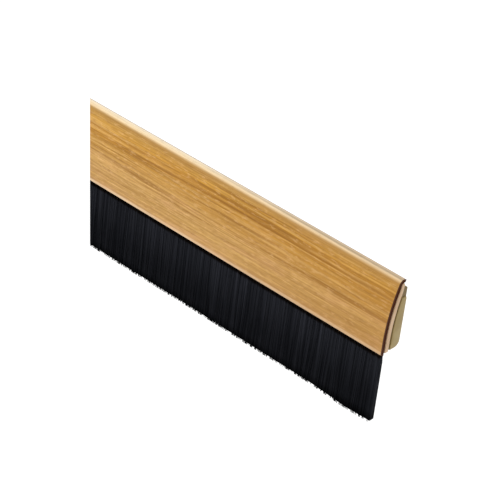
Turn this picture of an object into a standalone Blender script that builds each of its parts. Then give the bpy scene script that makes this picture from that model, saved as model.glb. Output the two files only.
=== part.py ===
"""Concealed-fix brush door sweep.

A slotted plastic carrier screws to the face of a door. A wood-effect cover hooks over a bead
along the carrier's top and swings down over the screws. A steel channel in the carrier's foot
grips a strip of black bristles round a core wire, and a moulded cap closes each end.

X runs along the sweep, +Y points at the door, Z is up. The origin is on the door's face, at
mid-length, level with the screws. Sections are drawn as (y, h) in millimetres, where h is the
height above the cover's bottom edge.
"""

import math

import bmesh
import bpy
from mathutils import Matrix, Vector

MM = 0.001

# Overall size
LENGTH = 914.0
COVER_HEIGHT = 26.0
DEPTH = 8.6
BRUSH_DROP = 27.0
GAP = 0.3

# Cover: a straight foot, a bowed face and a hook over the carrier's bead
COVER_WALL = 1.1
FACE_STRAIGHT = 5.0
FOOT_ROUND = 0.9
HOOK_OUTER = 2.0
HOOK_INNER = 1.0
HOOK_END = 62.0

# Carrier: slotted wall, bead on an arm along the top, pocket for the brush at the foot
WALL = 1.4
WALL_TOP = 22.2
BEAD_RADIUS = 0.7
BEAD = (-3.0, COVER_HEIGHT - HOOK_OUTER)
ARM_ANGLE = -45.0
ARM_THICK = 0.8
BACK_ROUND = 2.2
TOP_ROUND = 0.5
CARRIER_FOOT = 0.5
POCKET_LIP = 0.6
POCKET_WALL = 0.7
POCKET_WEB = 0.8

# Brush: steel channel, core wire and bristles folded round the wire
BRUSH_Y = -4.5
HOLDER_WIDTH = 3.4
HOLDER_HEIGHT = 5.0
HOLDER_WALL = 0.4
WIRE_RADIUS = 0.35
TIP_THICK = 3.0
BRUSH_INSET = 0.2

# End caps
CAP_THICK = 2.5
TONGUE_LENGTH = 9.0
TONGUE_THICK = 1.4
TONGUE_HEIGHTS = (9.0, 20.0)
GROOVE_INSET = 1.9
GROOVE_WIDTH = 1.1
GROOVE_DEPTH = 0.6
GROOVE_RUN_OUT = 2.0

# Screws and the slots they slide in
SCREW_HEIGHT = 14.6
SCREW_SPACING = 160.0
SCREW_COUNT = 6
SCREW_LENGTH = 12.0
SCREW_TIP = 2.6
SHANK_RADIUS = 1.75
HEAD_RADIUS = 3.5
HEAD_THICK = 2.2
HEAD_ROUND = 0.9
RECESS_SPAN = 3.4
RECESS_WIDTH = 0.9
RECESS_DEPTH = 1.3
SLOT_RADIUS = 2.1
SLOT_TRAVEL = 2.5
SCREW_SEGMENTS = 24

# How far a cutter or a joined piece runs past the face it meets
OVERRUN = 1.0

# Worked out from the sizes above
HALF = LENGTH / 2
CARRIER_HALF = HALF - CAP_THICK - GAP
BRUSH_HALF = CARRIER_HALF - BRUSH_INSET
HOLDER_BOTTOM = CARRIER_FOOT + POCKET_LIP + GAP
HOLDER_TOP = HOLDER_BOTTOM + HOLDER_HEIGHT
LOOP_RADIUS = HOLDER_WIDTH / 2 - HOLDER_WALL - GAP
LOOP_HEIGHT = HOLDER_TOP - HOLDER_WALL - GAP - LOOP_RADIUS
SCREW_SEAT = -WALL - GAP
SCREW_CROWN = SCREW_SEAT - HEAD_THICK
BEAD_IN = DEPTH + BEAD[0]
BEAD_RISE = BEAD[1] - FACE_STRAIGHT
FACE_RADIUS = (BEAD_IN**2 + BEAD_RISE**2 - HOOK_OUTER**2) / (2 * (BEAD_IN - HOOK_OUTER))
FACE_CENTRE = (FACE_RADIUS - DEPTH, FACE_STRAIGHT)
FACE_END = math.degrees(math.atan2(BEAD[1] - FACE_CENTRE[1], BEAD[0] - FACE_CENTRE[0]))


def arc(centre, radius, start, end, steps=8):
    """Points along an arc; angles in degrees, 0 towards the door and 90 upwards."""
    points = []
    for i in range(steps + 1):
        angle = math.radians(start + (end - start) * i / steps)
        points.append((centre[0] + radius * math.cos(angle), centre[1] + radius * math.sin(angle)))
    return points


def face_meets_hook(inset, radius):
    """Angle about the bead where the face's curve, moved in by inset, crosses a circle."""
    apart = FACE_RADIUS - HOOK_OUTER
    reach = FACE_RADIUS - inset
    cosine = (reach**2 - apart**2 - radius**2) / (2 * apart * radius)
    return FACE_END + math.degrees(math.acos(cosine))


def face_curve(inset, radius):
    """The face's curve, moved in by inset, from the straight foot up to a circle at the bead."""
    turn = math.radians(face_meets_hook(inset, radius))
    y = BEAD[0] + radius * math.cos(turn)
    h = BEAD[1] + radius * math.sin(turn)
    end = math.degrees(math.atan2(h - FACE_CENTRE[1], y - FACE_CENTRE[0]))
    return arc(FACE_CENTRE, FACE_RADIUS - inset, 180.0, end, 16)


def material(name, colour, roughness, metallic=0.0):
    mat = bpy.data.materials.new(name)
    mat.use_nodes = True
    shader = mat.node_tree.nodes["Principled BSDF"]
    shader.inputs["Base Color"].default_value = (*colour, 1.0)
    shader.inputs["Roughness"].default_value = roughness
    shader.inputs["Metallic"].default_value = metallic
    mat.diffuse_color = (*colour, 1.0)
    return mat


def add_object(name, bm, mat, location=(0.0, 0.0, 0.0), smooth=False):
    """Turn a bmesh in millimetres into an object whose origin is at location, in millimetres."""
    bmesh.ops.recalc_face_normals(bm, faces=bm.faces[:])
    bmesh.ops.translate(bm, vec=[-c for c in location], verts=bm.verts[:])
    bmesh.ops.scale(bm, vec=(MM, MM, MM), verts=bm.verts[:])
    for face in bm.faces:
        face.smooth = smooth
    mesh = bpy.data.meshes.new(name)
    bm.to_mesh(mesh)
    bm.free()
    obj = bpy.data.objects.new(name, mesh)
    obj.location = [c * MM for c in location]
    bpy.context.collection.objects.link(obj)
    if mat:
        mesh.materials.append(mat)
    return obj


def extrude_section(bm, loops, x_start, x_end):
    """Fill a section, given as an outline and its holes, and extrude it along X."""
    edges = []
    for loop in loops:
        verts = [bm.verts.new((x_start, y, h - SCREW_HEIGHT)) for y, h in loop]
        for i, vert in enumerate(verts):
            edges.append(bm.edges.new((vert, verts[(i + 1) % len(verts)])))
    filled = bmesh.ops.triangle_fill(bm, use_beauty=True, edges=edges)
    faces = [item for item in filled["geom"] if isinstance(item, bmesh.types.BMFace)]
    extruded = bmesh.ops.extrude_face_region(bm, geom=faces)
    moved = [item for item in extruded["geom"] if isinstance(item, bmesh.types.BMVert)]
    bmesh.ops.translate(bm, vec=(x_end - x_start, 0.0, 0.0), verts=moved)


def prism(name, loops, x_start, x_end, mat, location=(0.0, 0.0, 0.0)):
    bm = bmesh.new()
    extrude_section(bm, loops, x_start, x_end)
    return add_object(name, bm, mat, location)


def combine(target, tool, operation):
    """Join the tool's volume to the target or cut it out, and keep the tool out of the model."""
    tool.hide_render = True
    tool.display_type = "WIRE"
    modifier = target.modifiers.new(tool.name, "BOOLEAN")
    modifier.operation = operation
    modifier.solver = "EXACT"
    modifier.object = tool


def cover_section():
    inner_face = face_curve(COVER_WALL, HOOK_INNER)
    outline = [(COVER_WALL - DEPTH, 0.0)]
    outline += arc((FOOT_ROUND - DEPTH, FOOT_ROUND), FOOT_ROUND, 270.0, 180.0)
    outline += arc(FACE_CENTRE, FACE_RADIUS, 180.0, FACE_END, 16)
    outline += arc(BEAD, HOOK_OUTER, FACE_END, HOOK_END, 10)[1:]
    outline += arc(BEAD, HOOK_INNER, HOOK_END, face_meets_hook(COVER_WALL, HOOK_INNER), 12)[:-1]
    outline += inner_face[::-1]
    return outline


def arm_section(bead_start):
    """The wall's top, the arm and the bead, from the door's face round to bead_start."""
    spread = math.degrees(math.asin(ARM_THICK / 2 / BEAD_RADIUS))
    bead = arc(BEAD, BEAD_RADIUS, ARM_ANGLE + spread, bead_start, 14)
    # the arm leaves at 45 degrees, so it moves as far back as it drops
    arm_top_y = bead[0][0] + bead[0][1] - WALL_TOP
    corner = arc((-TOP_ROUND, WALL_TOP - TOP_ROUND), TOP_ROUND, 0.0, 90.0, 4)
    return corner + [(arm_top_y, WALL_TOP)] + bead


def carrier_section():
    spread = math.degrees(math.asin(ARM_THICK / 2 / BEAD_RADIUS))
    outline = arm_section(360.0 + ARM_ANGLE - spread)
    arm_end = outline[-1]
    pocket_back = BRUSH_Y + HOLDER_WIDTH / 2 + GAP
    pocket_front = BRUSH_Y - HOLDER_WIDTH / 2 - GAP
    pocket_top = HOLDER_TOP + GAP
    lip_top = CARRIER_FOOT + POCKET_LIP
    mouth = HOLDER_WIDTH / 2 - HOLDER_WALL
    outline += [
        (-WALL, arm_end[1] - (-WALL - arm_end[0])),
        (-WALL, pocket_top + POCKET_WEB),
        (pocket_front - POCKET_WALL, pocket_top + POCKET_WEB),
        (pocket_front - POCKET_WALL, CARRIER_FOOT),
        (BRUSH_Y - mouth, CARRIER_FOOT),
        (BRUSH_Y - mouth, lip_top),
        (pocket_front, lip_top),
        (pocket_front, pocket_top),
        (pocket_back, pocket_top),
        (pocket_back, lip_top),
        (BRUSH_Y + mouth, lip_top),
        (BRUSH_Y + mouth, CARRIER_FOOT),
    ]
    outline += arc((-BACK_ROUND, CARRIER_FOOT + BACK_ROUND), BACK_ROUND, 270.0, 360.0)
    return outline


def cap_section():
    """The space behind the cover, filled from the bead down to a rounded foot."""
    inset = COVER_WALL + GAP
    outline = arm_section(face_meets_hook(inset, BEAD_RADIUS))[:-1]
    outline += face_curve(inset, BEAD_RADIUS)[::-1]
    outline += [(inset - DEPTH, CARRIER_FOOT)]
    outline += arc((-BACK_ROUND, CARRIER_FOOT + BACK_ROUND), BACK_ROUND, 270.0, 360.0)
    return outline


def holder_section():
    half = HOLDER_WIDTH / 2
    inner = half - HOLDER_WALL
    roof = HOLDER_TOP - HOLDER_WALL
    return [
        (BRUSH_Y - half, HOLDER_BOTTOM),
        (BRUSH_Y - half, HOLDER_TOP),
        (BRUSH_Y + half, HOLDER_TOP),
        (BRUSH_Y + half, HOLDER_BOTTOM),
        (BRUSH_Y + inner, HOLDER_BOTTOM),
        (BRUSH_Y + inner, roof),
        (BRUSH_Y - inner, roof),
        (BRUSH_Y - inner, HOLDER_BOTTOM),
    ]


def bristle_section():
    centre = (BRUSH_Y, LOOP_HEIGHT)
    outline = arc(centre, LOOP_RADIUS, 0.0, 180.0, 12)
    outline += [
        (BRUSH_Y - LOOP_RADIUS, CARRIER_FOOT),
        (BRUSH_Y - TIP_THICK / 2, -BRUSH_DROP),
        (BRUSH_Y + TIP_THICK / 2, -BRUSH_DROP),
        (BRUSH_Y + LOOP_RADIUS, CARRIER_FOOT),
    ]
    return outline


def extrude_upright(bm, outline, y_start, y_end):
    """Extrude an outline of (x, z) points along Y."""
    face = bm.faces.new([bm.verts.new((x, y_start, z)) for x, z in outline])
    extruded = bmesh.ops.extrude_face_region(bm, geom=[face])
    moved = [item for item in extruded["geom"] if isinstance(item, bmesh.types.BMVert)]
    bmesh.ops.translate(bm, vec=(0.0, y_end - y_start, 0.0), verts=moved)


def make_slot_cutter():
    """One object holding a rounded upright slot for every screw."""
    bm = bmesh.new()
    for x in screw_places():
        outline = arc((x, SLOT_TRAVEL), SLOT_RADIUS, 0.0, 180.0, 12)
        outline += arc((x, -SLOT_TRAVEL), SLOT_RADIUS, 180.0, 360.0, 12)
        extrude_upright(bm, outline, -WALL - OVERRUN, OVERRUN)
    return add_object("slot_cutter", bm, None)


def groove_section():
    """A narrow band that follows the face's curve across a cap."""
    outer = FACE_RADIUS - COVER_WALL - GAP - GROOVE_INSET
    top = FACE_END + GROOVE_RUN_OUT
    groove = arc(FACE_CENTRE, outer, 180.0, top, 12)
    groove += arc(FACE_CENTRE, outer - GROOVE_WIDTH, top, 180.0, 12)
    return groove


def make_cap(name, side, mat):
    """An end cap with a tongue along the carrier's wall and a groove in its outer face."""
    inner_x = side * (HALF - CAP_THICK)
    cap = prism(name, [cap_section()], side * HALF, inner_x, mat)
    low, high = TONGUE_HEIGHTS
    back = SCREW_SEAT
    front = back - TONGUE_THICK
    outline = [(front, low), (back, low), (back, high), (front, high)]
    start = inner_x + side * OVERRUN
    tongue = prism(name + "_tongue", [outline], start, inner_x - side * TONGUE_LENGTH, None)
    combine(cap, tongue, "UNION")
    floor = side * (HALF - GROOVE_DEPTH)
    groove = prism(name + "_groove", [groove_section()], side * (HALF + OVERRUN), floor, None)
    combine(cap, groove, "DIFFERENCE")


def screw_places():
    first = -(SCREW_COUNT - 1) / 2 * SCREW_SPACING
    return [first + i * SCREW_SPACING for i in range(SCREW_COUNT)]


def screw_profile():
    """(radius, y) from the crown of the pan head to the point."""
    tip = SCREW_SEAT + SCREW_LENGTH
    edge = (HEAD_RADIUS - HEAD_ROUND, SCREW_CROWN + HEAD_ROUND)
    profile = [(0.0, SCREW_CROWN)] + arc(edge, HEAD_ROUND, 270.0, 360.0, 5)
    profile += [(HEAD_RADIUS, SCREW_SEAT), (SHANK_RADIUS, SCREW_SEAT)]
    profile += [(SHANK_RADIUS, tip - SCREW_TIP), (0.0, tip)]
    return profile


def recess_outline(x):
    """A cross, drawn a quarter at a time from the corner between two of its arms."""
    quarter = ((RECESS_WIDTH, RECESS_WIDTH), (RECESS_WIDTH, RECESS_SPAN), (-RECESS_WIDTH, RECESS_SPAN))
    outline = []
    for turn in range(4):
        spin = Matrix.Rotation(math.radians(90 * turn), 2)
        for corner in quarter:
            across, up = spin @ Vector(corner) / 2
            outline.append((x + across, up))
    return outline


def make_screw(name, x, mat):
    bm = bmesh.new()
    profile = [bm.verts.new((x + radius, y, 0.0)) for radius, y in screw_profile()]
    edges = [bm.edges.new(pair) for pair in zip(profile, profile[1:])]
    bmesh.ops.spin(
        bm,
        geom=profile + edges,
        cent=(x, 0.0, 0.0),
        axis=(0.0, 1.0, 0.0),
        angle=2 * math.pi,
        steps=SCREW_SEGMENTS,
    )
    bmesh.ops.remove_doubles(bm, verts=bm.verts[:], dist=0.001)
    screw = add_object(name, bm, mat, (x, 0.0, 0.0), smooth=True)
    bm = bmesh.new()
    extrude_upright(bm, recess_outline(x), SCREW_CROWN - RECESS_DEPTH, SCREW_CROWN + RECESS_DEPTH)
    combine(screw, add_object(name + "_recess", bm, None), "DIFFERENCE")


def main():
    for obj in list(bpy.data.objects):
        bpy.data.objects.remove(obj, do_unlink=True)

    oak = material("oak_effect_foil", (0.55, 0.31, 0.10), 0.45)
    beige = material("beige_plastic", (0.60, 0.50, 0.34), 0.5)
    cap_beige = material("cap_plastic", (0.56, 0.46, 0.30), 0.5)
    steel = material("bright_steel", (0.62, 0.62, 0.60), 0.35, 1.0)
    zinc = material("zinc_plate", (0.70, 0.68, 0.62), 0.3, 1.0)
    black = material("black_bristle", (0.012, 0.013, 0.014), 0.6)

    carrier = prism("carrier", [carrier_section()], -CARRIER_HALF, CARRIER_HALF, beige)
    combine(carrier, make_slot_cutter(), "DIFFERENCE")

    hinge = (0.0, BEAD[0], BEAD[1] - SCREW_HEIGHT)
    prism("cover", [cover_section()], -HALF, HALF, oak, hinge)

    make_cap("end_cap_right", 1, cap_beige)
    make_cap("end_cap_left", -1, cap_beige)

    prism("brush_holder", [holder_section()], -BRUSH_HALF, BRUSH_HALF, steel)
    wire = arc((BRUSH_Y, LOOP_HEIGHT), WIRE_RADIUS, 0.0, 337.5, 15)
    prism("core_wire", [wire], -BRUSH_HALF, BRUSH_HALF, steel)
    tunnel = arc((BRUSH_Y, LOOP_HEIGHT), WIRE_RADIUS + GAP, 0.0, 337.5, 15)
    mouth = (0.0, BRUSH_Y, HOLDER_BOTTOM - SCREW_HEIGHT)
    prism("bristles", [bristle_section(), tunnel], -BRUSH_HALF, BRUSH_HALF, black, mouth)

    for number, x in enumerate(screw_places(), start=1):
        make_screw(f"screw_{number}", x, zinc)


main()
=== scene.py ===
"""Looks of a concealed-fix brush door sweep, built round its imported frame.

Sections are drawn as (y, h) in millimetres, as on the part: y is 0 at the door and negative
towards the front, and h is the height above the cover's foot. X runs along the strip.
"""

import math

import bmesh
import bpy
import numpy as np
from mathutils import Matrix, Quaternion, Vector


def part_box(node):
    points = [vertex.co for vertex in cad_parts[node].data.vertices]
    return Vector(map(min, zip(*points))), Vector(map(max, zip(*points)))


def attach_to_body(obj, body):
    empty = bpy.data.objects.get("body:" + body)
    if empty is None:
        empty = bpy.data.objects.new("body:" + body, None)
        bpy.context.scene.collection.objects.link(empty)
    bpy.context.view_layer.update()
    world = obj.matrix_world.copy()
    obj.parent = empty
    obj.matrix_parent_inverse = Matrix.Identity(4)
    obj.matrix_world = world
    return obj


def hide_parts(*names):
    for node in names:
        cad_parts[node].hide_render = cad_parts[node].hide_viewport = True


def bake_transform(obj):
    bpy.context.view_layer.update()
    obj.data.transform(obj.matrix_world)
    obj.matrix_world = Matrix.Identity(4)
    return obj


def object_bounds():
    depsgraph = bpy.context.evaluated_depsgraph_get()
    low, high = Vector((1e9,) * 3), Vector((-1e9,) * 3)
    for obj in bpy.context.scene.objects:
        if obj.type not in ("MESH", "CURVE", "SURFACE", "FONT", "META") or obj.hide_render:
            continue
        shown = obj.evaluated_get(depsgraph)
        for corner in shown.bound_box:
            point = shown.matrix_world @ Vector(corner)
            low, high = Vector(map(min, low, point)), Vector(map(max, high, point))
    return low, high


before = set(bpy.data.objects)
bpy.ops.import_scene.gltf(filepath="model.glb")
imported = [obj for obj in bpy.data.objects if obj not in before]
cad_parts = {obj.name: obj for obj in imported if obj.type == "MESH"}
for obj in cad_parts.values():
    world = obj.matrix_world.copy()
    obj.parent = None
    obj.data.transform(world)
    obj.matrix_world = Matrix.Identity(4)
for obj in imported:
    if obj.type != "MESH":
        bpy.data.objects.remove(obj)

cad_low, cad_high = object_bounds()

MM = 0.001

# Places read from the frame, in millimetres
cover_low, cover_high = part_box("cover")
carrier_low, carrier_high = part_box("carrier")
bristles_low, bristles_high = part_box("bristles")
holder_low, holder_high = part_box("brush_holder")
wire_low, wire_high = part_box("core_wire")
FOOT_Z = cover_low.z / MM
HALF = cover_high.x / MM
COVER_HEIGHT = (cover_high.z - cover_low.z) / MM
DEPTH = -cover_low.y / MM
CARRIER_HALF = carrier_high.x / MM
CARRIER_FOOT = carrier_low.z / MM - FOOT_Z
BRUSH_HALF = bristles_high.x / MM
BRUSH_Y = (holder_low.y + holder_high.y) / 2 / MM
BRUSH_DROP = -bristles_low.z / MM + FOOT_Z
HOLDER_WIDTH = (holder_high.y - holder_low.y) / MM
HOLDER_BOTTOM = holder_low.z / MM - FOOT_Z
HOLDER_TOP = holder_high.z / MM - FOOT_Z
WIRE_RADIUS = (wire_high.z - wire_low.z) / 2 / MM
WIRE_HEIGHT = (wire_high.z + wire_low.z) / 2 / MM - FOOT_Z
TIP_THICK = (bristles_high.y - bristles_low.y) / MM

# Clearance between pieces that fit together
GAP = 0.3

# Angles above which an edge is drawn sharp, in degrees
SHARP_ANGLE = 35.0
SCREW_SHARP = 40.0
STRAND_SHARP = 80.0

# From here to the helpers, sizes are in millimetres and angles in degrees. The sections of the
# cover, carrier, holder and caps are the part's own.

# Cover section
COVER_WALL = 1.1
FACE_STRAIGHT = 5.0
FOOT_ROUND = 0.9
HOOK_OUTER = 2.0
HOOK_INNER = 1.0
HOOK_END = 62.0
BEAD = (-3.0, COVER_HEIGHT - HOOK_OUTER)
BEAD_IN = DEPTH + BEAD[0]
BEAD_RISE = BEAD[1] - FACE_STRAIGHT
FACE_RADIUS = (BEAD_IN**2 + BEAD_RISE**2 - HOOK_OUTER**2) / (2 * (BEAD_IN - HOOK_OUTER))
FACE_CENTRE = (FACE_RADIUS - DEPTH, FACE_STRAIGHT)
FACE_END = math.degrees(math.atan2(BEAD[1] - FACE_CENTRE[1], BEAD[0] - FACE_CENTRE[0]))

# Carrier and holder sections
WALL = 1.4
WALL_TOP = 22.2
BEAD_RADIUS = 0.7
ARM_ANGLE = -45.0
ARM_THICK = 0.8
BACK_ROUND = 2.2
TOP_ROUND = 0.5
POCKET_LIP = 0.6
POCKET_WALL = 0.7
POCKET_WEB = 0.8
POCKET_EDGE = 0.2
POCKET_CORNER = 0.5
HOLDER_WALL = 0.4
HOLDER_BEND = 0.35

# End caps: a plate, two raised pads with a groove between them, and a tongue behind the cover
CAP_THICK = 2.5
CAP_RIM = 0.25
CAP_CORNER = 0.3
GROOVE_INSET = 1.9
GROOVE_WIDTH = 1.1
GROOVE_DEPTH = 0.6
PAD_INSET = 0.2
PAD_ROOT = 0.3
FRONT_PAD_END = 161.5
REAR_PAD_END = 163.8
REAR_PAD_BEVEL = (0.3, 0.6)
WEDGE_STEP = 0.2
TONGUE_ROOT = 1.0
TONGUE_ROUND = 0.3
TONGUE_LENGTH = 9.0
TONGUE_THICK = 1.4
TONGUE_HEIGHTS = (9.0, 20.0)

# Screws. The recess tool has a half-width and a length for its arms, and a scale at two depths.
SCREWS = [name for name in sorted(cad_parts) if name.startswith("screw_")]
SEAT = -WALL - GAP
SCREW_SIDES = 48
AXIS_RADIUS = 0.02
HEAD_RADIUS = 3.5
HEAD_THICK = 2.2
HEAD_ROUND = 0.9
HEAD_FLAT = 1.2
HEAD_EDGE = 0.08
RECESS_ARM = (0.4, 1.75)
RECESS_SCALES = ((-0.5, 1.12), (1.4, 0.55))
SHANK_RADIUS = 1.75
CORE_RADIUS = 1.2
SCREW_LENGTH = 12.0
SCREW_TIP = 2.6
NECK_LENGTH = 0.5
THREAD_START = 1.2
THREAD_PITCH = 1.35
THREAD_SIDES = 20
THREAD_FOOT = 0.28
THREAD_CREST = 0.04
SLOT_RADIUS = 2.1
SLOT_TRAVEL = 2.5
SLOT_EASE = 0.25

# Bristles: the strands' sizes, their scatter, the brush's ends, its tips, and the fold inside it
STRANDS = 8800
STRAND_RADIUS = 0.14
STRAND_SIDES = 3
STRAND_STATIONS = (0.0, 0.28, 0.55, 1.0)
STRAND_TAPER = (1.0, 1.0, 1.0, 0.7)
STRAND_SIZES = (0.8, 1.15)
STRAND_RINGS = len(STRAND_STATIONS)
STRAND_MARGIN = 0.2
ROOT_H = HOLDER_BOTTOM + 1.5
LAYER_SHARES = (0.48, 0.32, 0.20)
ROOT_SCATTER = 0.05
TIP_SCATTER = 0.22
TIP_MARGIN = 0.05
CLUMPS = 600
CLUMP_WIDTH = (1.2, 3.4)
CLUMP_LEAN = 0.32
STRAND_LEAN = 0.16
CLUMP_REACH = 0.03
STRAND_REACH = 0.05
STRAND_BOW = 0.10
END_LEAN = 0.3
END_LEAN_ZONE = 9.0
END_FLARE = 0.9
END_FLARE_ZONE = 6.0
FLARE_GROWTH = 3.5
END_ROUND = 1.1
TIP_EXTRA = 0.35
TIP_WAVES = ((0.07, 9.0, 0.6), (0.06, 21.0, 0.0))
TIP_DIP = 0.9
TIP_DIP_PLACE = 9.0
TIP_DIP_SPREAD = 10.0
FOLD_REACH = 0.35
FOLD_PITCH = 14.0
FOLD_END = 0.4
FOLD_SLIM = 0.35
FOLD_WIDEN = 0.3


def arc(centre, radius, start, end, steps=16):
    """Points along an arc; angles in degrees, 0 towards the door and 90 upwards."""
    points = []
    for i in range(steps + 1):
        angle = math.radians(start + (end - start) * i / steps)
        points.append((centre[0] + radius * math.cos(angle), centre[1] + radius * math.sin(angle)))
    return points


def rounded(points, radius, steps=4):
    """A polygon with every corner rounded to the same small radius."""
    result = []
    count = len(points)
    for i, point in enumerate(points):
        here = Vector(point)
        before = (Vector(points[i - 1]) - here).normalized()
        after = (Vector(points[(i + 1) % count]) - here).normalized()
        reach = radius / math.tan(before.angle(after) / 2)
        start = here + before * reach
        end = here + after * reach
        for step in range(steps + 1):
            t = step / steps
            mixed = start * (1 - t) ** 2 + here * 2 * t * (1 - t) + end * t**2
            result.append((mixed.x, mixed.y))
    return result


def inset(points, distance):
    """An outline moved inwards by distance along its corner bisectors."""
    area = sum(a[0] * b[1] - b[0] * a[1] for a, b in zip(points, points[1:] + points[:1]))
    side = distance if area > 0 else -distance
    result = []
    count = len(points)
    for i, point in enumerate(points):
        before = (Vector(point) - Vector(points[i - 1])).normalized()
        after = (Vector(points[(i + 1) % count]) - Vector(point)).normalized()
        normal = Vector((-before.y - after.y, before.x + after.x)).normalized()
        stretch = max(0.5, normal.dot(Vector((-before.y, before.x))))
        moved = Vector(point) + normal * side / stretch
        result.append((moved.x, moved.y))
    return result


def face_meets_hook(inset_by, radius):
    """Angle about the bead where the face's curve, moved in, crosses a circle."""
    apart = FACE_RADIUS - HOOK_OUTER
    reach = FACE_RADIUS - inset_by
    cosine = (reach**2 - apart**2 - radius**2) / (2 * apart * radius)
    return FACE_END + math.degrees(math.acos(cosine))


def face_curve(inset_by, radius, steps=40):
    """The face's curve, moved in, from the straight foot up to a circle at the bead."""
    turn = math.radians(face_meets_hook(inset_by, radius))
    y = BEAD[0] + radius * math.cos(turn)
    h = BEAD[1] + radius * math.sin(turn)
    end = math.degrees(math.atan2(h - FACE_CENTRE[1], y - FACE_CENTRE[0]))
    return arc(FACE_CENTRE, FACE_RADIUS - inset_by, 180.0, end, steps)


def place(x, point):
    """A section point at x, all in millimetres, as a point of the frame in metres."""
    return Vector((x, point[0], point[1] + FOOT_Z)) * MM


def loft(bm, rings):
    """Skin a row of equal rings and close both ends. Returns the side faces, ring by ring."""
    verts = [[bm.verts.new(p) for p in ring] for ring in rings]
    count = len(rings[0])
    sides = []
    for lower, upper in zip(verts, verts[1:]):
        row = []
        for i in range(count):
            j = (i + 1) % count
            row.append(bm.faces.new((lower[i], lower[j], upper[j], upper[i])))
        sides.append(row)
    bm.faces.new(verts[0][::-1])
    bm.faces.new(verts[-1])
    return sides


def ease_rings(outline, start, end, rim, steps=3):
    """Rings of a prism from x start to x end whose rims are rounded by rim."""
    way = 1.0 if end > start else -1.0
    rings = []
    for i in range(steps + 1):
        angle = math.pi / 2 * i / steps
        shape = inset(outline, rim * (1 - math.sin(angle)))
        rings.append([place(start + way * rim * (1 - math.cos(angle)), p) for p in shape])
    for i in range(steps + 1):
        angle = math.pi / 2 * i / steps
        shape = inset(outline, rim * (1 - math.cos(angle)))
        rings.append([place(end - way * rim * (1 - math.sin(angle)), p) for p in shape])
    return rings


def finish_mesh(bm, name, materials, sharp=SHARP_ANGLE):
    """Turn a bmesh into a linked object with smooth faces and sharp edges above an angle."""
    bmesh.ops.recalc_face_normals(bm, faces=bm.faces[:])
    mesh = bpy.data.meshes.new(name)
    bm.to_mesh(mesh)
    bm.free()
    for mat in materials:
        mesh.materials.append(mat)
    mesh.shade_smooth()
    mesh.set_sharp_from_angle(angle=math.radians(sharp))
    obj = bpy.data.objects.new(name, mesh)
    bpy.context.scene.collection.objects.link(obj)
    return obj


def carve(obj, tool):
    """Cut the tool's volume out of obj for good, and remove the tool."""
    modifier = obj.modifiers.new("carve", "BOOLEAN")
    modifier.operation = "DIFFERENCE"
    modifier.solver = "EXACT"
    modifier.object = tool
    bpy.context.view_layer.update()
    evaluated = obj.evaluated_get(bpy.context.evaluated_depsgraph_get())
    carved = bpy.data.meshes.new_from_object(evaluated)
    obj.modifiers.clear()
    obj.data = carved
    bpy.data.objects.remove(tool)
    carved.shade_smooth()
    carved.set_sharp_from_angle(angle=math.radians(SHARP_ANGLE))


# ---------------------------------------------------------------- materials


def srgb(red, green, blue):
    """A display colour from 0 to 255 as a linear one."""
    linear = []
    for value in (red, green, blue):
        v = value / 255
        linear.append(v / 12.92 if v <= 0.04045 else ((v + 0.055) / 1.055) ** 2.4)
    return (*linear, 1.0)


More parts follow.
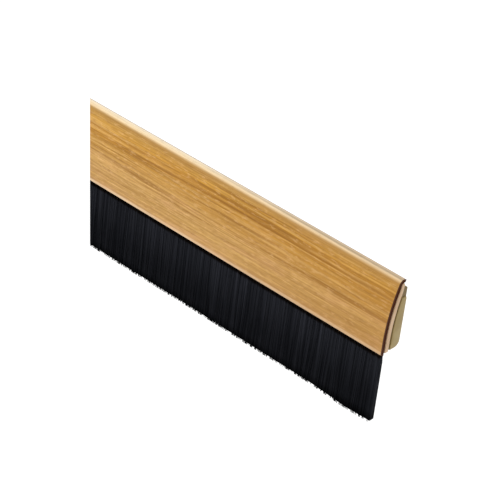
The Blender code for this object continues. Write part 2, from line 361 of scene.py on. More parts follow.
class Graph:
    """A material whose nodes are added by short calls; a socket takes a value or an output."""

    def __init__(self, name, constants):
        self.material = bpy.data.materials.new(name)
        self.material.use_nodes = True
        self.tree = self.material.node_tree
        self.shader = self.tree.nodes["Principled BSDF"]
        for socket, value in constants.items():
            self.shader.inputs[socket].default_value = value
        self.coords = self.node("TexCoord", {}, {}).outputs["Object"]

    def node(self, kind, settings, sockets):
        """Add a node; sockets maps an input's name or number to what feeds it."""
        made = self.tree.nodes.new("ShaderNode" + kind)
        for key, value in settings.items():
            setattr(made, key, value)
        for key, value in sockets.items():
            self.feed(made.inputs[key], value)
        return made

    def feed(self, socket, value):
        if isinstance(value, bpy.types.NodeSocket):
            self.tree.links.new(value, socket)
        else:
            socket.default_value = value

    def math(self, operation, a, b=0.0):
        return self.node("Math", {"operation": operation}, {0: a, 1: b}).outputs[0]

    def times(self, a, b):
        return self.math("MULTIPLY", a, b)

    def mix(self, factor, a, b, blend="MIX"):
        settings = {"data_type": "RGBA", "blend_type": blend}
        return self.node("Mix", settings, {0: factor, 6: a, 7: b}).outputs[2]

    def grey(self, value):
        """A grey whose three channels are the value."""
        return self.node("CombineColor", {}, {"Red": value, "Green": value, "Blue": value}).outputs[0]

    def grain(self, vector, detail=4.0, roughness=0.55):
        """Noise from 0 to 1 over a vector that is already in cells."""
        sockets = {"Vector": vector, "Scale": 1.0, "Detail": detail, "Roughness": roughness}
        return self.node("TexNoise", {}, sockets).outputs["Fac"]

    def cells(self, x, y, z, vector=None, offset=(0.0, 0.0, 0.0)):
        """Coordinates counted in cells of x by y by z millimetres."""
        size = (1 / (x * MM), 1 / (y * MM), 1 / (z * MM))
        source = self.coords if vector is None else vector
        sockets = {"Vector": source, "Scale": size, "Location": offset}
        return self.node("Mapping", {}, sockets).outputs[0]

    def ramp(self, factor, stops):
        """A colour from stops, each a position from 0 to 1 and a colour."""
        made = self.node("ValToRGB", {}, {"Fac": factor})
        ramp = made.color_ramp
        while len(ramp.elements) < len(stops):
            ramp.elements.new(0.5)
        for element, (position, colour) in zip(ramp.elements, stops):
            element.position = position
            element.color = colour
        return made.outputs["Color"]

    def band(self, value, low, high, out_low=0.0, out_high=1.0):
        """Map low..high to out_low..out_high, smoothly and clamped."""
        sockets = {"Value": value, "From Min": low, "From Max": high, "To Min": out_low, "To Max": out_high}
        made = self.node("MapRange", {"interpolation_type": "SMOOTHSTEP"}, sockets)
        return made.outputs["Result"]

    def stripe(self, value, centre, outer, inner):
        """1 where the value is within inner of the centre, falling to 0 at outer."""
        away = self.math("ABSOLUTE", self.math("SUBTRACT", value, centre))
        return self.band(away, outer, inner)

    def bump(self, height, distance):
        """Relief of the given depth in millimetres."""
        made = self.node("Bump", {}, {"Height": height, "Distance": distance * MM, "Strength": 1.0})
        self.feed(self.shader.inputs["Normal"], made.outputs[0])

    def set(self, socket, value):
        self.feed(self.shader.inputs[socket], value)


# The foil is laid out by its girth: millimetres from the cover's foot, round the face to the hook.
GIRTH_END = 29.08
HEAVY_LINE = 20.3
# Girth of a painted shade line along the top edge
TOP_SHADE_LINE = 27.75

# A slow change of tone along the strip, in metres
TONE_START = 0.34
TONE_PERIOD = 0.31

# The dark edge where the foil is cut off at the strip's ends, in millimetres
FOIL_TRIM = 0.35
TRIM_BLUR = (-0.12, 0.05)

# The figure's tones from the foot to the hook's end, with painted shade under the foot, a painted highlight
# as a pale line at the foot and another at the top, a painted dark reflection just below the top highlight,
# and a darker tone at the hook's end
OAK_AND_PAINTED_LIGHT_STOPS = (
    (0.000, srgb(70, 38, 14)),
    (0.020, srgb(96, 56, 24)),
    (0.032, srgb(228, 198, 160)),
    (0.062, srgb(214, 180, 138)),
    (0.080, srgb(182, 138, 84)),
    (0.12, srgb(183, 139, 77)),
    (0.22, srgb(185, 142, 76)),
    (0.30, srgb(192, 149, 84)),
    (0.40, srgb(198, 153, 86)),
    (0.46, srgb(194, 148, 78)),
    (0.50, srgb(184, 136, 62)),
    (0.54, srgb(194, 146, 72)),
    (0.58, srgb(180, 130, 52)),
    (0.62, srgb(192, 142, 62)),
    (0.66, srgb(172, 120, 40)),
    (0.70, srgb(202, 150, 68)),
    (0.74, srgb(174, 122, 40)),
    (0.79, srgb(200, 148, 60)),
    (0.84, srgb(182, 136, 62)),
    (0.886, srgb(172, 130, 66)),
    (0.898, srgb(180, 142, 86)),
    (0.910, srgb(206, 172, 122)),
    (0.922, srgb(232, 206, 164)),
    (0.950, srgb(234, 214, 180)),
    (0.974, srgb(230, 214, 186)),
    (0.984, srgb(158, 132, 98)),
    (1.00, srgb(128, 100, 68)),
)

# Marks laid over the figure in turn: what they follow, the zone they keep to, a cell's length and
# height in millimetres, the noise's offset, roughness and range, the strength and the colour
FOIL_MARKS = (
    ("figure", "upper", (95, 1.5), (9.0, 2.0, 0), 0.60, (0.49, 0.59), 0.70, srgb(140, 92, 20)),
    ("figure", "upper", (60, 0.6), (2.0, 6.0, 0), 0.60, (0.50, 0.62), 0.52, srgb(136, 92, 30)),
    ("figure", "inner", (70, 0.9), (4.0, 8.0, 0), 0.60, (0.50, 0.64), 0.45, srgb(222, 178, 106)),
    ("strip", "lower", (22, 4.5), (7.0, 1.0, 0), 0.55, (0.48, 0.72), 1.00, srgb(210, 160, 112)),
    ("figure", "inner", (4.5, 0.75), (5.0, 3.0, 0), 0.65, (0.50, 0.66), 0.40, srgb(152, 104, 46)),
    # The last row paints glints: pale specks over the face
    ("figure", "face", (3.4, 0.8), (8.0, 1.0, 0), 0.65, (0.52, 0.68), 0.38, srgb(228, 184, 126)),
)


def add_marks(graph, colour, girth, paths):
    """Lay streaks, a blush, flecks and glints over the foil's figure, each in its zone of girth."""
    face = graph.band(girth, 25.9, 25.0)
    zones = {
        "face": face,
        "inner": graph.times(graph.band(girth, 2.0, 3.0), face),
        "upper": graph.times(graph.band(girth, 4.0, 13.0, 0.35, 1.0), graph.band(girth, 26.0, 24.6)),
        "lower": graph.band(girth, 18.0, 8.0, 0.1, 0.40),
    }
    for follows, zone, cell, offset, roughness, span, strength, tint in FOIL_MARKS:
        noise = graph.grain(graph.cells(*cell, 1, paths[follows], offset), 3.0, roughness)
        factor = graph.times(graph.band(noise, *span), graph.times(zones[zone], strength))
        colour = graph.mix(factor, colour, tint)
    return colour


def wander(graph, strip, girth):
    """How far the figure strays from its straight lines, in millimetres, and not at its edges."""
    drift = graph.grain(graph.cells(150, 30, 1, strip, (3.1, 0.7, 0)), 2.0)
    ripple = graph.grain(graph.cells(34, 6, 1, strip, (1.7, 5.2, 0)), 2.0)
    far = graph.times(graph.math("SUBTRACT", drift, 0.5), 4.5)
    stray = graph.math("ADD", far, graph.math("SUBTRACT", ripple, 0.5))
    return graph.times(stray, graph.times(graph.band(girth, 1.2, 5.0), graph.band(girth, 25.4, 21.0)))


def make_foil():
    """Golden-oak foil: straight figure that wanders along the strip, fibres, pores and flecks, with painted
    glints on the face and painted highlights and shade along the top and foot.
    """
    graph = Graph("golden_oak_foil", {"Specular IOR Level": 0.22})
    girth_m = graph.node("Attribute", {"attribute_name": "girth"}, {}).outputs["Fac"]
    girth = graph.times(girth_m, 1 / MM)
    along = graph.node("SeparateXYZ", {}, {"Vector": graph.coords}).outputs[0]
    strip = graph.node("CombineXYZ", {}, {"X": along, "Y": girth_m}).outputs[0]
    figured = graph.math("ADD", girth, wander(graph, strip, girth))
    figure = graph.node("CombineXYZ", {}, {"X": along, "Y": graph.times(figured, MM)}).outputs[0]

    # The ramp paints highlights and shade along the foot and the top as well as the figure's tones
    colour = graph.ramp(graph.math("DIVIDE", figured, GIRTH_END), OAK_AND_PAINTED_LIGHT_STOPS)
    colour = add_marks(graph, colour, girth, {"strip": strip, "figure": figure})
    heavy = graph.times(graph.stripe(figured, HEAVY_LINE, 0.75, 0.15), graph.band(along, 0.335, 0.40))
    colour = graph.mix(graph.times(heavy, 0.6), colour, srgb(140, 90, 18))
    turn = graph.times(graph.math("SUBTRACT", along, TONE_START), math.tau / TONE_PERIOD)
    deep = graph.math("SUBTRACT", 0.5, graph.times(graph.math("COSINE", turn), 0.5))
    colour = graph.mix(graph.times(deep, 0.34), colour, srgb(158, 106, 34))
    # Painted shade: a greyish line along the top edge, strong near the right-hand end and faint elsewhere
    near_end = graph.band(along, 0.36, 0.43, 0.05, 0.85)
    dimmer = graph.times(graph.stripe(girth, TOP_SHADE_LINE, 0.65, 0.25), near_end)
    colour = graph.mix(dimmer, colour, srgb(168, 146, 116))

    fibre = graph.grain(graph.cells(11, 0.22, 1, strip), 5.0, 0.65)
    colour = graph.mix(1.0, colour, graph.grey(graph.band(fibre, 0.30, 0.70, 0.86, 1.12)), "MULTIPLY")
    pore = graph.band(graph.grain(graph.cells(2.6, 0.14, 1, strip, (0.3, 0.9, 0)), 2.0, 0.5), 0.62, 0.72)
    colour = graph.mix(graph.times(pore, 0.35), colour, srgb(120, 76, 24))
    from_middle = graph.math("DIVIDE", graph.math("ABSOLUTE", along), MM)
    trim = HALF - FOIL_TRIM
    trimmed = graph.band(from_middle, trim + TRIM_BLUR[0], trim + TRIM_BLUR[1])
    graph.set("Base Color", graph.mix(trimmed, colour, srgb(66, 32, 10)))

    gloss = graph.band(graph.grain(graph.cells(9, 1.2, 1, strip)), 0.25, 0.75, 0.30, 0.44)
    graph.set("Roughness", graph.math("ADD", gloss, graph.times(pore, 0.12)))
    graph.bump(graph.math("SUBTRACT", graph.times(fibre, 0.5), pore), 0.02)
    return graph.material


def make_core():
    """Brown plastic under the foil, seen on the cover's cut ends and inside."""
    graph = Graph("cover_core", {"Specular IOR Level": 0.03})
    speck = graph.grain(graph.cells(0.5, 0.5, 0.5), 4.0)
    saw = graph.grain(graph.cells(0.4, 3.0, 0.12), 3.0)
    colour = graph.mix(graph.band(speck, 0.35, 0.7), srgb(56, 25, 8), srgb(72, 34, 11))
    graph.set("Base Color", colour)
    graph.set("Roughness", graph.band(saw, 0.3, 0.7, 0.5, 0.75))
    graph.bump(saw, 0.03)
    return graph.material


def make_plastic(name, light, dark, die_lines):
    """Beige plastic with faint mottling, and an extrusion's die lines or a moulded grain."""
    graph = Graph(name, {"Specular IOR Level": 0.3})
    cell, depth = ((160, 0.35, 0.35), 0.03) if die_lines else ((0.25, 0.25, 0.25), 0.015)
    cloud = graph.grain(graph.cells(14, 5, 5), 3.0)
    texture = graph.grain(graph.cells(*cell), 3.0)
    mottled = graph.mix(graph.band(cloud, 0.3, 0.7), light, dark)
    tone = graph.grey(graph.band(texture, 0.3, 0.7, 0.95, 1.03))
    graph.set("Base Color", graph.mix(1.0, mottled, tone, "MULTIPLY"))
    graph.set("Roughness", graph.band(texture, 0.3, 0.7, 0.38, 0.55))
    graph.bump(texture, depth)
    return graph.material


def make_metal(name, colour, dimmer, lathe):
    """Plated steel with fine drawing or turning marks."""
    graph = Graph(name, {"Metallic": 1.0})
    cell = (0.5, 0.08, 0.5) if lathe else (40, 0.12, 0.12)
    marks = graph.grain(graph.cells(*cell), 4.0)
    bloom = graph.grain(graph.cells(3, 3, 3), 4.0)
    graph.set("Base Color", graph.mix(graph.band(bloom, 0.35, 0.7), colour, dimmer))
    graph.set("Roughness", graph.band(marks, 0.3, 0.7, 0.22, 0.42))
    graph.bump(marks, 0.01)
    return graph.material


BRISTLE_STOPS = ((0.32, srgb(17, 18, 21)), (0.50, srgb(24, 25, 29)), (0.68, srgb(33, 34, 39)))


def make_bristle():
    """Black filament: its tone changes from strand to strand, with painted shade at the tips, painted light
    higher up and a painted shadow under the cover's foot.
    """
    graph = Graph("black_filament", {"Specular IOR Level": 0.012})
    strand = graph.grain(graph.cells(0.35, 0.8, 60), 2.0, 0.7)
    clump = graph.grain(graph.cells(2.2, 40, 45, None, (0.4, 0.0, 0.0)), 3.0)
    tone = graph.math("ADD", graph.times(strand, 0.5), graph.times(clump, 0.5))
    colour = graph.ramp(tone, BRISTLE_STOPS)
    up = graph.math("DIVIDE", graph.node("SeparateXYZ", {}, {"Vector": graph.coords}).outputs[2], MM)
    tip, root = FOOT_Z - BRUSH_DROP, FOOT_Z
    # Painted shade and light: darker at the tips, lighter towards the top
    shade = graph.times(graph.band(up, tip - 0.5, tip + 4.0, 0.12, 0.9),
                        graph.band(up, tip + 5.0, root - 2.0, 0.9, 2.2))
    colour = graph.mix(1.0, colour, graph.grey(shade), "MULTIPLY")
    # Painted shadow: a near-black warm band just under the cover's foot
    under_foot_shadow = graph.band(up, root - 4.2, root - 3.1)
    graph.set("Base Color", graph.mix(under_foot_shadow, colour, srgb(10, 5, 2)))
    graph.set("Roughness", graph.band(strand, 0.3, 0.7, 0.45, 0.65))
    return graph.material


foil = make_foil()
core = make_core()
carrier_plastic = make_plastic("carrier_plastic", srgb(214, 196, 164), srgb(204, 184, 150), True)
cap_plastic = make_plastic("cap_plastic", srgb(198, 167, 134), srgb(188, 156, 121), False)
# Painted shade: the cap's rear pad and its groove take the cap's beige plastic darkened, the groove darkest
shaded_wedge_plastic = make_plastic("cap_wedge_shaded", srgb(155, 136, 90), srgb(144, 124, 77), False)
shaded_groove_plastic = make_plastic("cap_groove_shaded", srgb(112, 91, 48), srgb(98, 78, 38), False)
galvanised = make_metal("galvanised_strip", srgb(196, 198, 200), srgb(170, 173, 176), False)
zinc = make_metal("zinc_plate", srgb(214, 212, 204), srgb(190, 188, 176), True)
filament = make_bristle()

# ------------------------------------------------------------------- pieces


def attach(obj, body, node):
    """Let obj stand for a CAD node on its body."""
    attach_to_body(obj, body)
    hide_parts(node)


def build_cover():
    """The shell: foil outside, brown core inside and on both cut ends."""
    outer = arc((FOOT_ROUND - DEPTH, FOOT_ROUND), FOOT_ROUND, 270.0, 180.0, 10)
    outer += arc(FACE_CENTRE, FACE_RADIUS, 180.0, FACE_END, 48)
    outer += arc(BEAD, HOOK_OUTER, FACE_END, HOOK_END, 22)[1:]
    inner = arc(BEAD, HOOK_INNER, HOOK_END, face_meets_hook(COVER_WALL, HOOK_INNER), 20)[:-1]
    inner += face_curve(COVER_WALL, HOOK_INNER)[::-1]
    inner += [(COVER_WALL - DEPTH, 0.0)]
    outline = outer + inner
    girth = [0.0]
    for a, b in zip(outline, outline[1:]):
        girth.append(girth[-1] + math.dist(a, b))
    bm = bmesh.new()
    layer = bm.verts.layers.float.new("girth")
    for row in loft(bm, ease_rings(outline, -HALF, HALF, 0.06, 2)):
        for i, face in enumerate(row):
            face.material_index = 0 if i < len(outer) - 1 else 1
    cut_ends = bm.faces[-2:]
    for face in cut_ends:
        face.material_index = 1
    for i, vert in enumerate(bm.verts):
        vert[layer] = girth[i % len(outline)] * MM
    obj = finish_mesh(bm, "cover_shell", [foil, core])
    attach(obj, "cover_body", "cover")


def arm_outline(bead_start):
    """The wall's rounded top, the arm and the bead, from the door's face round to bead_start."""
    spread = math.degrees(math.asin(ARM_THICK / 2 / BEAD_RADIUS))
    bead = arc(BEAD, BEAD_RADIUS, ARM_ANGLE + spread, bead_start, 24)
    arm_top_y = bead[0][0] + bead[0][1] - WALL_TOP  # the arm rises at 45 degrees
    corner = arc((-TOP_ROUND, WALL_TOP - TOP_ROUND), TOP_ROUND, 0.0, 90.0, 6)
    return corner + [(arm_top_y, WALL_TOP)] + bead


def foot_round():
    """The rounded corner between the foot and the door's face."""
    return arc((-BACK_ROUND, CARRIER_FOOT + BACK_ROUND), BACK_ROUND, 270.0, 360.0, 16)


def build_carrier():
    """The extrusion against the door: wall, bead to hook the cover on, and brush pocket."""
    spread = math.degrees(math.asin(ARM_THICK / 2 / BEAD_RADIUS))
    outline = arm_outline(360.0 + ARM_ANGLE - spread)
    arm_end = outline[-1]
    half_pocket = HOLDER_WIDTH / 2 + GAP
    back, front = BRUSH_Y + half_pocket, BRUSH_Y - half_pocket
    pocket_top = HOLDER_TOP + GAP
    lip_top = CARRIER_FOOT + POCKET_LIP
    mouth = HOLDER_WIDTH / 2 - HOLDER_WALL
    web_front = front - POCKET_WALL
    edge, corner = POCKET_EDGE, POCKET_CORNER
    outline += [(-WALL, arm_end[1] - (-WALL - arm_end[0]))]
    outline += arc((-WALL - corner, pocket_top + POCKET_WEB + corner), corner, 0.0, -90.0, 5)
    outline += arc((web_front + edge, pocket_top + POCKET_WEB - edge), edge, 90.0, 180.0, 4)
    outline += arc((web_front + edge, CARRIER_FOOT + edge), edge, 180.0, 270.0, 4)
    outline += arc((BRUSH_Y - mouth - edge, CARRIER_FOOT + edge), edge, 270.0, 360.0, 4)
    outline += [(BRUSH_Y - mouth, lip_top), (front, lip_top), (front, pocket_top), (back, pocket_top)]
    outline += [(back, lip_top), (BRUSH_Y + mouth, lip_top)]
    outline += arc((BRUSH_Y + mouth + edge, CARRIER_FOOT + edge), edge, 180.0, 270.0, 4)
    outline += foot_round()
    bm = bmesh.new()
    loft(bm, ease_rings(outline, -CARRIER_HALF, CARRIER_HALF, 0.05, 1))
    obj = finish_mesh(bm, "carrier_profile", [carrier_plastic])
    carve(obj, build_slot_tool())
    attach(obj, "carrier_body", "carrier")


def build_slot_tool():
    """Six rounded slots, a little wider at the wall's front so their rims are eased."""
    bm = bmesh.new()
    wide = SLOT_RADIUS + SLOT_EASE
    stations = ((-WALL - 1, wide), (-WALL, wide), (-WALL + SLOT_EASE, SLOT_RADIUS), (1, SLOT_RADIUS))
    for name in SCREWS:
        low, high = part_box(name)
        x = (low.x + high.x) / 2 / MM
        rings = []
        for y, radius in stations:
            shape = arc((x, SLOT_TRAVEL), radius, 0.0, 180.0, 16)
            shape += arc((x, -SLOT_TRAVEL), radius, 180.0, 360.0, 16)
            rings.append([Vector((across, y, up)) * MM for across, up in shape])
        loft(bm, rings)
    return finish_mesh(bm, "slot_tool", [])


def cap_foot(reach):
    """The cap's rounded lower front corner, reach behind the cover's face."""
    return arc((reach - DEPTH + CAP_CORNER, CARRIER_FOOT + CAP_CORNER), CAP_CORNER, 180.0, 270.0, 4)


def plate_outline():
    reach = COVER_WALL + GAP
    outline = arm_outline(face_meets_hook(reach, BEAD_RADIUS))[:-1]
    return outline + face_curve(reach, BEAD_RADIUS)[::-1] + cap_foot(reach) + foot_round()


def front_pad_outline(split):
    """The pad along the cover's face, back to a curve of radius split about the face's centre."""
    reach = COVER_WALL + GAP + PAD_INSET
    top = arm_outline(face_meets_hook(reach, BEAD_RADIUS))[:-1]
    outline = face_curve(reach, BEAD_RADIUS)[::-1] + cap_foot(reach)
    outline += [(FACE_CENTRE[0] - split, CARRIER_FOOT)]
    outline += arc(FACE_CENTRE, split, 180.0, FRONT_PAD_END, 24)
    return outline + [p for p in top if p[1] > WALL_TOP + PAD_ROOT]


def rear_pad_outline(split):
    """The pad between the groove and the door's face."""
    outline = arc(FACE_CENTRE, split, REAR_PAD_END, 180.0, 20)
    top = outline[0][1]
    outline += [(FACE_CENTRE[0] - split, CARRIER_FOOT)] + foot_round()
    return outline + [(0.0, top - REAR_PAD_BEVEL[1]), (-REAR_PAD_BEVEL[0], top)]


def ring_verts(sides):
    return {vert for row in sides for face in row for vert in face.verts}


def build_cap(name, node, side):
    """A base plate with two raised pads, the rear one lower, and a groove between them."""
    inner_x, outer_x = side * (HALF - CAP_THICK), side * HALF
    floor_x = outer_x - side * GROOVE_DEPTH
    base_x = floor_x - side * PAD_ROOT
    wedge_x = outer_x - side * WEDGE_STEP
    tongue_x = inner_x - side * TONGUE_LENGTH
    split = FACE_RADIUS - COVER_WALL - GAP - GROOVE_INSET
    bm = bmesh.new()
    plate = ring_verts(loft(bm, ease_rings(plate_outline(), inner_x, floor_x, 0.05, 1)))
    loft(bm, ease_rings(front_pad_outline(split), base_x, outer_x, CAP_RIM))
    rear = rear_pad_outline(split - GROOVE_WIDTH)
    wedge = ring_verts(loft(bm, ease_rings(rear, base_x, wedge_x, CAP_RIM)))
    low, high = TONGUE_HEIGHTS
    front = SEAT - TONGUE_THICK
    tongue = rounded([(front, low), (SEAT, low), (SEAT, high), (front, high)], TONGUE_ROUND)
    loft(bm, ease_rings(tongue, inner_x + side * TONGUE_ROOT, tongue_x, TONGUE_ROUND))
    # Painted shade: the rear pad's faces and the plate's outer faces, the groove's floor among them, take
    # darkened copies of the cap plastic
    for face in bm.faces:
        outside = abs(face.calc_center_median().x / MM) > HALF - CAP_THICK + 0.1
        if all(vert in wedge for vert in face.verts):
            face.material_index = 1
        elif outside and all(vert in plate for vert in face.verts):
            face.material_index = 2
    obj = finish_mesh(bm, name, [cap_plastic, shaded_wedge_plastic, shaded_groove_plastic])
    attach(obj, "carrier_body", node)


def build_holder():
    """The folded steel channel, with round bends."""
    half, inner = HOLDER_WIDTH / 2, HOLDER_WIDTH / 2 - HOLDER_WALL
    roof = HOLDER_TOP - HOLDER_WALL
    bend = HOLDER_BEND + HOLDER_WALL
    outline = [(BRUSH_Y - half, HOLDER_BOTTOM)]
    outline += arc((BRUSH_Y - half + bend, HOLDER_TOP - bend), bend, 180.0, 90.0, 6)
    outline += arc((BRUSH_Y + half - bend, HOLDER_TOP - bend), bend, 90.0, 0.0, 6)
    outline += [(BRUSH_Y + half, HOLDER_BOTTOM), (BRUSH_Y + inner, HOLDER_BOTTOM)]
    outline += arc((BRUSH_Y + inner - HOLDER_BEND, roof - HOLDER_BEND), HOLDER_BEND, 0.0, 90.0, 6)
    outline += arc((BRUSH_Y - inner + HOLDER_BEND, roof - HOLDER_BEND), HOLDER_BEND, 90.0, 180.0, 6)
    outline += [(BRUSH_Y - inner, HOLDER_BOTTOM)]
    bm = bmesh.new()
    loft(bm, ease_rings(outline, -BRUSH_HALF, BRUSH_HALF, 0.03, 1))
    obj = finish_mesh(bm, "brush_channel", [galvanised])
    attach(obj, "carrier_body", "brush_holder")


def build_wire():
    """The wire that the bristles are folded over."""
    bm = bmesh.new()
    outline = arc((BRUSH_Y, WIRE_HEIGHT), WIRE_RADIUS, 0.0, 345.0, 23)
    loft(bm, ease_rings(outline, -BRUSH_HALF, BRUSH_HALF, 0.05, 2))
    obj = finish_mesh(bm, "fold_wire", [galvanised])
    attach(obj, "carrier_body", "core_wire")


def build_screw(name):
    """A pan-head wood screw: domed head with a cross recess, plain neck, thread and point."""
    low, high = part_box(name)
    x = (low.x + high.x) / 2
    crown, tip = SEAT - HEAD_THICK, SEAT + SCREW_LENGTH
    profile = [(AXIS_RADIUS, crown), (HEAD_FLAT, crown + 0.02)]
    profile += arc((HEAD_RADIUS - HEAD_ROUND, crown + HEAD_ROUND), HEAD_ROUND, 270.0, 360.0, 10)
    profile += [(HEAD_RADIUS, SEAT - HEAD_EDGE), (HEAD_RADIUS - HEAD_EDGE, SEAT)]
    profile += [(SHANK_RADIUS + 0.1, SEAT), (SHANK_RADIUS, SEAT + 0.1)]
    profile += [(SHANK_RADIUS, THREAD_START - NECK_LENGTH), (CORE_RADIUS, THREAD_START)]
    profile += [(CORE_RADIUS, tip - SCREW_TIP), (AXIS_RADIUS, tip)]
    bm = bmesh.new()
    rings = []
    for radius, y in profile:
        ring = []
        for i in range(SCREW_SIDES):
            ring.append(turned(x, radius, y, 2 * math.pi * i / SCREW_SIDES))
        rings.append(ring)
    loft(bm, rings)
    obj = finish_mesh(bm, name + "_body", [zinc], SCREW_SHARP)
    carve(obj, build_recess_tool(x, crown))
    bm = bmesh.new()
    bm.from_mesh(obj.data)
    add_thread(bm, x, tip)
    bm.to_mesh(obj.data)
    bm.free()
    attach(obj, "fixings", name)


def turned(x, radius, y, angle):
    """A point about the screw's axis at x metres; radius and y in millimetres."""
    return Vector((x + radius * MM * math.cos(angle), y * MM, radius * MM * math.sin(angle)))


def build_recess_tool(x, crown):
    """A cross whose arms taper towards the bottom of the recess."""
    bm = bmesh.new()
    half, length = RECESS_ARM
    rings = []
    for depth, scale in RECESS_SCALES:
        ring = []
        for turn in range(4):
            spin = Matrix.Rotation(math.radians(90 * turn), 2)
            for corner in ((half, half), (half, length), (-half, length)):
                across, up = spin @ Vector((corner[0], corner[1] * scale))
                ring.append(Vector((x / MM + across, crown + depth, up)) * MM)
        rings.append(ring)
    loft(bm, rings)
    return finish_mesh(bm, "recess_tool", [])


def add_thread(bm, x, tip):
    """A helical ridge from the neck to the point, dying away at both ends."""
    length = tip - 0.3 - THREAD_START
    steps = int(length / THREAD_PITCH * THREAD_SIDES)
    previous = None
    for i in range(steps + 1):
        along = i / steps
        y = THREAD_START + length * along
        angle = 2 * math.pi * i / THREAD_SIDES
        core_radius = CORE_RADIUS * min(1.0, max(0.12, (tip - y) / SCREW_TIP))
        rise = min(1.0, along * 12, (1 - along) * 6 + 0.1)
        crest = core_radius + (SHANK_RADIUS - CORE_RADIUS) * rise
        foot = core_radius - 0.1
        section = ((foot, -THREAD_FOOT), (crest, -THREAD_CREST), (crest, THREAD_CREST), (foot, THREAD_FOOT))
        ring = [bm.verts.new(turned(x, radius, y + shift, angle)) for radius, shift in section]
        if previous:
            for j in range(4):
                k = (j + 1) % 4
                face = bm.faces.new((previous[j], previous[k], ring[k], ring[j]))
                face.smooth = True
        else:
            bm.faces.new(ring[::-1])
        previous = ring
    bm.faces.new(previous)
    bmesh.ops.recalc_face_normals(bm, faces=bm.faces[:])


def tip_line(x):
    """Height of the tips along the brush: a slight wave, and longer a little way in from each end."""
    from_end = BRUSH_HALF - np.abs(x)
    wave = sum(size * np.sin(x / length + phase) for size, length, phase in TIP_WAVES) + TIP_EXTRA
    dip = TIP_DIP * np.exp(-(((from_end - TIP_DIP_PLACE) / TIP_DIP_SPREAD) ** 2))
    return -BRUSH_DROP - wave - dip


def strand_paths():
    """Ends of all the strands: their roots in the channel's mouth, their lean and their tips."""
    rng = np.random.default_rng(7)
    x = np.sort(rng.uniform(-BRUSH_HALF + STRAND_MARGIN, BRUSH_HALF - STRAND_MARGIN, STRANDS))
    layer = rng.choice([-1.0, 1.0, 0.0], STRANDS, p=LAYER_SHARES)
    root_half = HOLDER_WIDTH / 2 - HOLDER_WALL - GAP - STRAND_RADIUS
    root_y = BRUSH_Y + layer * root_half + rng.normal(0, ROOT_SCATTER, STRANDS)
    spread = TIP_THICK / 2 - STRAND_RADIUS - TIP_MARGIN
    scattered = layer * spread + rng.normal(0, TIP_SCATTER, STRANDS)
    tip_y = BRUSH_Y + np.clip(scattered, -spread, spread)
    clump_edges = np.cumsum(rng.uniform(*CLUMP_WIDTH, CLUMPS)) - BRUSH_HALF
    clump = np.searchsorted(clump_edges, x)
    lean = rng.normal(0, CLUMP_LEAN, CLUMPS + 1)[clump] + rng.normal(0, STRAND_LEAN, STRANDS)
    reach = rng.normal(0, CLUMP_REACH, CLUMPS + 1)[clump]
    reach -= np.abs(rng.normal(0, STRAND_REACH, STRANDS))
    from_end = BRUSH_HALF - np.abs(x)
    lean -= np.sign(x) * END_LEAN * np.clip(1 - from_end / END_LEAN_ZONE, 0, 1)
    reach -= END_ROUND * np.clip(1 - from_end / END_ROUND, 0, 1) ** 2.4
    return x, root_y, tip_y, lean, tip_line(x) - reach


def strand_verts():
    """Corners of all the strands: one small ring at each station of each strand."""
    x, root_y, tip_y, lean, tip_h = strand_paths()
    rng = np.random.default_rng(11)
    t = np.array(STRAND_STATIONS)
    flared = np.clip(t * FLARE_GROWTH, 0, 1)
    bow = rng.normal(0, STRAND_BOW, STRANDS)
    near_end = np.clip(1 - (BRUSH_HALF - np.abs(x)) / END_FLARE_ZONE, 0, 1)
    flare = np.sign(x) * END_FLARE * near_end
    centre_x = x[:, None] + lean[:, None] * t**1.6 + bow[:, None] * np.sin(np.pi * t)
    centre_x += flare[:, None] * flared
    centre_y = root_y[:, None] + (tip_y - root_y)[:, None] * t**1.2
    centre_h = ROOT_H + (tip_h - ROOT_H)[:, None] * t
    radius = STRAND_RADIUS * rng.uniform(*STRAND_SIZES, STRANDS)[:, None] * np.array(STRAND_TAPER)
    turn = rng.uniform(0, 2 * np.pi, STRANDS)
    verts = np.zeros((STRANDS, STRAND_RINGS, STRAND_SIDES, 3))
    for side in range(STRAND_SIDES):
        angle = (turn + 2 * np.pi * side / STRAND_SIDES)[:, None]
        verts[:, :, side, 0] = centre_x + radius * np.cos(angle)
        verts[:, :, side, 1] = centre_y + radius * np.sin(angle)
        verts[:, :, side, 2] = centre_h + FOOT_Z
    limit = BRUSH_HALF + END_FLARE * flared[None, :, None]
    verts[..., 0] = np.clip(verts[..., 0], -limit, limit)
    return verts.reshape(-1, 3) * MM


def strand_faces():
    """Side faces and both end faces of every strand."""
    per_strand = STRAND_RINGS * STRAND_SIDES
    sides = []
    for ring in range(STRAND_RINGS - 1):
        for side in range(STRAND_SIDES):
            a = ring * STRAND_SIDES + side
            b = ring * STRAND_SIDES + (side + 1) % STRAND_SIDES
            sides.append((a, b, b + STRAND_SIDES, a + STRAND_SIDES))
    last = per_strand - STRAND_SIDES
    ends = ((0, 2, 1), (last, last + 1, last + 2))
    first = per_strand * np.arange(STRANDS)[:, None, None]
    faces = (np.array(sides)[None] + first).reshape(-1, 4).tolist()
    return faces + (np.array(ends)[None] + first).reshape(-1, 3).tolist()


def build_bristles():
    """Thousands of separate filaments over a slim dark fold that wraps the core wire."""
    mesh = bpy.data.meshes.new("strands")
    mesh.from_pydata(strand_verts().tolist(), [], strand_faces())
    bm = bmesh.new()
    bm.from_mesh(mesh)
    bpy.data.meshes.remove(mesh)
    add_fold(bm)
    obj = finish_mesh(bm, "filaments", [filament], STRAND_SHARP)
    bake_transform(obj)
    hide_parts("bristles")


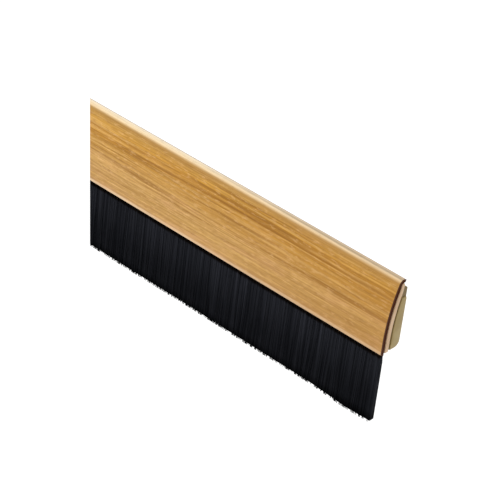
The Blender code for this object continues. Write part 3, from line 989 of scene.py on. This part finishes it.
def add_fold(bm):
    """The solid middle of the brush, from the loop round the wire to just above the tips.

    Its corners are at the strands' own stations, so that both bend to the same shape.
    """
    loop = HOLDER_WIDTH / 2 - HOLDER_WALL - GAP
    ends = BRUSH_HALF - FOLD_END
    between = np.arange(-ends + 2, ends - 1, FOLD_PITCH)
    rings = []
    for at in (-ends, *between, ends):
        foot = float(tip_line(at)) + FOLD_REACH
        flare = math.copysign(END_FLARE, at) if abs(at) == ends else 0.0
        points = [place(at, p) for p in arc((BRUSH_Y, WIRE_HEIGHT), loop, 0.0, 180.0, 12)]
        front, back = [], []
        for t in STRAND_STATIONS:
            h = ROOT_H + (foot - ROOT_H) * t
            half = loop - FOLD_SLIM + FOLD_WIDEN * t
            x = at + flare * min(1.0, FLARE_GROWTH * t)
            front.append(place(x, (BRUSH_Y - half, h)))
            back.append(place(x, (BRUSH_Y + half, h)))
        rings.append(points + front + back[::-1])
    loft(bm, rings)


build_cover()
build_carrier()
build_cap("cap_right", "end_cap_right", 1.0)
build_cap("cap_left", "end_cap_left", -1.0)
build_holder()
build_wire()
for screw in SCREWS:
    build_screw(screw)
build_bristles()

# -------------------------------------------------------- floor, light, camera

# Metres
FLOOR_DROP = 0.40
FLOOR_SIZE = 60.0

WORLD_STRENGTH = 1.0

# Each lamp's name, place, target and size in metres, and its power in watts
LAMPS = (
    ("key", (-1.2, -1.6, 2.4), (0.2, 0.0, 0.0), (2.4, 1.6), 33.0),
    ("rim", (-1.8, 2.4, 1.0), (0.0, 0.0, 0.0), (2.0, 0.7), 22.0),
)


def build_floor():
    """A pale floor well below the strip, so that no shadow shows, as in the photo."""
    bm = bmesh.new()
    bmesh.ops.create_grid(bm, x_segments=8, y_segments=8, size=FLOOR_SIZE / 2)
    graph = Graph("pale_floor", {"Roughness": 0.9, "Specular IOR Level": 0.1})
    cloud = graph.grain(graph.cells(900, 900, 900), 2.0)
    graph.set("Base Color", graph.mix(cloud, srgb(246, 246, 246), srgb(250, 250, 250)))
    floor = finish_mesh(bm, "floor", [graph.material])
    floor.location.z = cad_low.z - FLOOR_DROP


def add_light(name, location, target, size, power):
    data = bpy.data.lights.new(name, "AREA")
    data.shape = "RECTANGLE"
    data.size, data.size_y = size
    data.energy = power
    lamp = bpy.data.objects.new(name, data)
    lamp.location = location
    lamp.rotation_mode = "QUATERNION"
    lamp.rotation_quaternion = (Vector(target) - Vector(location)).to_track_quat("-Z", "Y")
    bpy.context.scene.collection.objects.link(lamp)


def light_scene():
    world = bpy.data.worlds.new("studio")
    world.use_nodes = True
    background = world.node_tree.nodes["Background"]
    background.inputs["Color"].default_value = (1.0, 1.0, 1.0, 1.0)
    background.inputs["Strength"].default_value = WORLD_STRENGTH
    bpy.context.scene.world = world
    for lamp in LAMPS:
        add_light(*lamp)
    bpy.context.scene.view_settings.view_transform = "Standard"


# The camera looks at the strip's right-hand end from the front, from above and from the right.
# Its lens is in millimetres, its place in metres from that end, and its angles in degrees.
LENS = 151.3
CAMERA_FROM_END = Vector((0.29695, -0.44225, 0.36773))
CAMERA_AZIMUTH = 39.16
CAMERA_ELEVATION = 32.61
CAMERA_ROLL = 7.03

# The card's distance from the camera in metres, the share of the view's width that it covers,
# how far it reaches past the frame in half-widths of the view, and the strength of its painted light, a
# white glow
CARD_DISTANCE = 0.005
CARD_SHARE = 0.18
CARD_REACH = 1.3
CARD_GLOW = 1.1


def place_camera():
    """The photo's viewpoint, set from the strip's right-hand end."""
    data = bpy.data.cameras.new("camera")
    data.lens = LENS
    data.clip_start = 0.001
    camera = bpy.data.objects.new("camera", data)
    azimuth, elevation = math.radians(CAMERA_AZIMUTH), math.radians(CAMERA_ELEVATION)
    level = math.cos(elevation)
    forward = Vector((-math.sin(azimuth) * level, math.cos(azimuth) * level, -math.sin(elevation)))
    roll = Quaternion((0.0, 0.0, 1.0), math.radians(CAMERA_ROLL))
    camera.rotation_mode = "QUATERNION"
    camera.rotation_quaternion = forward.to_track_quat("-Z", "Y") @ roll
    camera.location = Vector((cover_high.x, carrier_high.y, cover_low.z)) + CAMERA_FROM_END
    bpy.context.scene.collection.objects.link(camera)
    bpy.context.scene.camera = camera
    return camera


def build_crop_card(camera):
    """A card just before the lens that glows white as painted light, as wide as the white border left of
    the pictured strip.

    The pictured strip is cut off by the photograph and goes on behind the card. Only the camera
    sees the card, and it is under a millimetre wide. Without it the whole strip shows.
    """
    half_view = camera.data.sensor_width / camera.data.lens * CARD_DISTANCE / 2
    reach = CARD_REACH * half_view
    edge = (2 * CARD_SHARE - 1) * half_view
    bm = bmesh.new()
    corners = ((-reach, -reach), (edge, -reach), (edge, reach), (-reach, reach))
    bm.faces.new([bm.verts.new((x, y, -CARD_DISTANCE)) for x, y in corners])
    # Painted light: the card glows white, though it is no lamp
    card_glow_material = bpy.data.materials.new("card_glowing_white")
    card_glow_material.use_nodes = True
    shader = card_glow_material.node_tree.nodes["Principled BSDF"]
    shader.inputs["Base Color"].default_value = (0.0, 0.0, 0.0, 1.0)
    shader.inputs["Specular IOR Level"].default_value = 0.0
    shader.inputs["Emission Color"].default_value = (1.0, 1.0, 1.0, 1.0)
    shader.inputs["Emission Strength"].default_value = CARD_GLOW
    card = finish_mesh(bm, "crop_card", [card_glow_material])
    card.rotation_mode = "QUATERNION"
    card.rotation_quaternion = camera.rotation_quaternion
    card.location = camera.location
    card.visible_diffuse = False
    card.visible_glossy = False
    card.visible_shadow = False


build_floor()
light_scene()
build_crop_card(place_camera())
